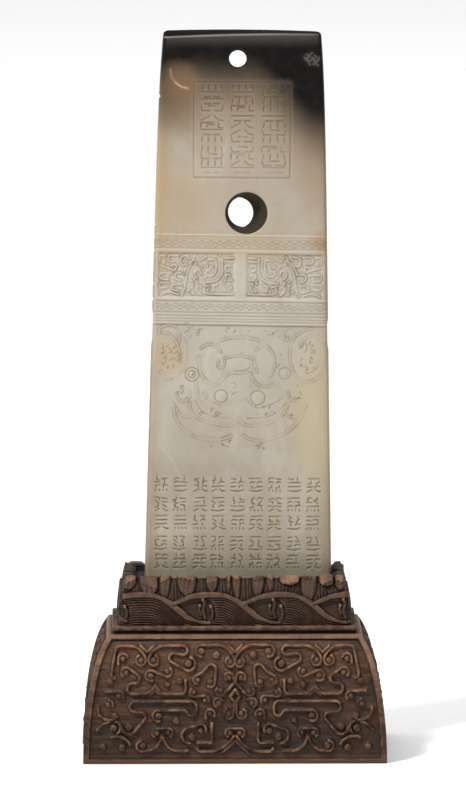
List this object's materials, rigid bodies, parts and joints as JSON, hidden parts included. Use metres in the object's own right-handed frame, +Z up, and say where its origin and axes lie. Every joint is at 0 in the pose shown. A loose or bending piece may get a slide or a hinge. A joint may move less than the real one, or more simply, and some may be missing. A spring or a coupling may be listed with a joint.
{
  "type": "jade gui on a carved stand",
  "caption": "Tapering pierced jade ritual tablet with low-relief bands and mask, standing upright in the slot of a carved hardwood stand.",
  "frame": {"origin": "middle of the stand's underside", "axes": "+Z up along the tablet, front with the mask towards -Y, +X to the right seen from the front"},
  "size_m": [0.1352, 0.076, 0.3238],
  "materials": {
    "jade": "polished, worn soft",
    "hardwood": "waxed"
  },
  "bodies": {
    "root": {"jade_gui": "jade", "wood_stand": "hardwood"}
  },
  "joints": []
}
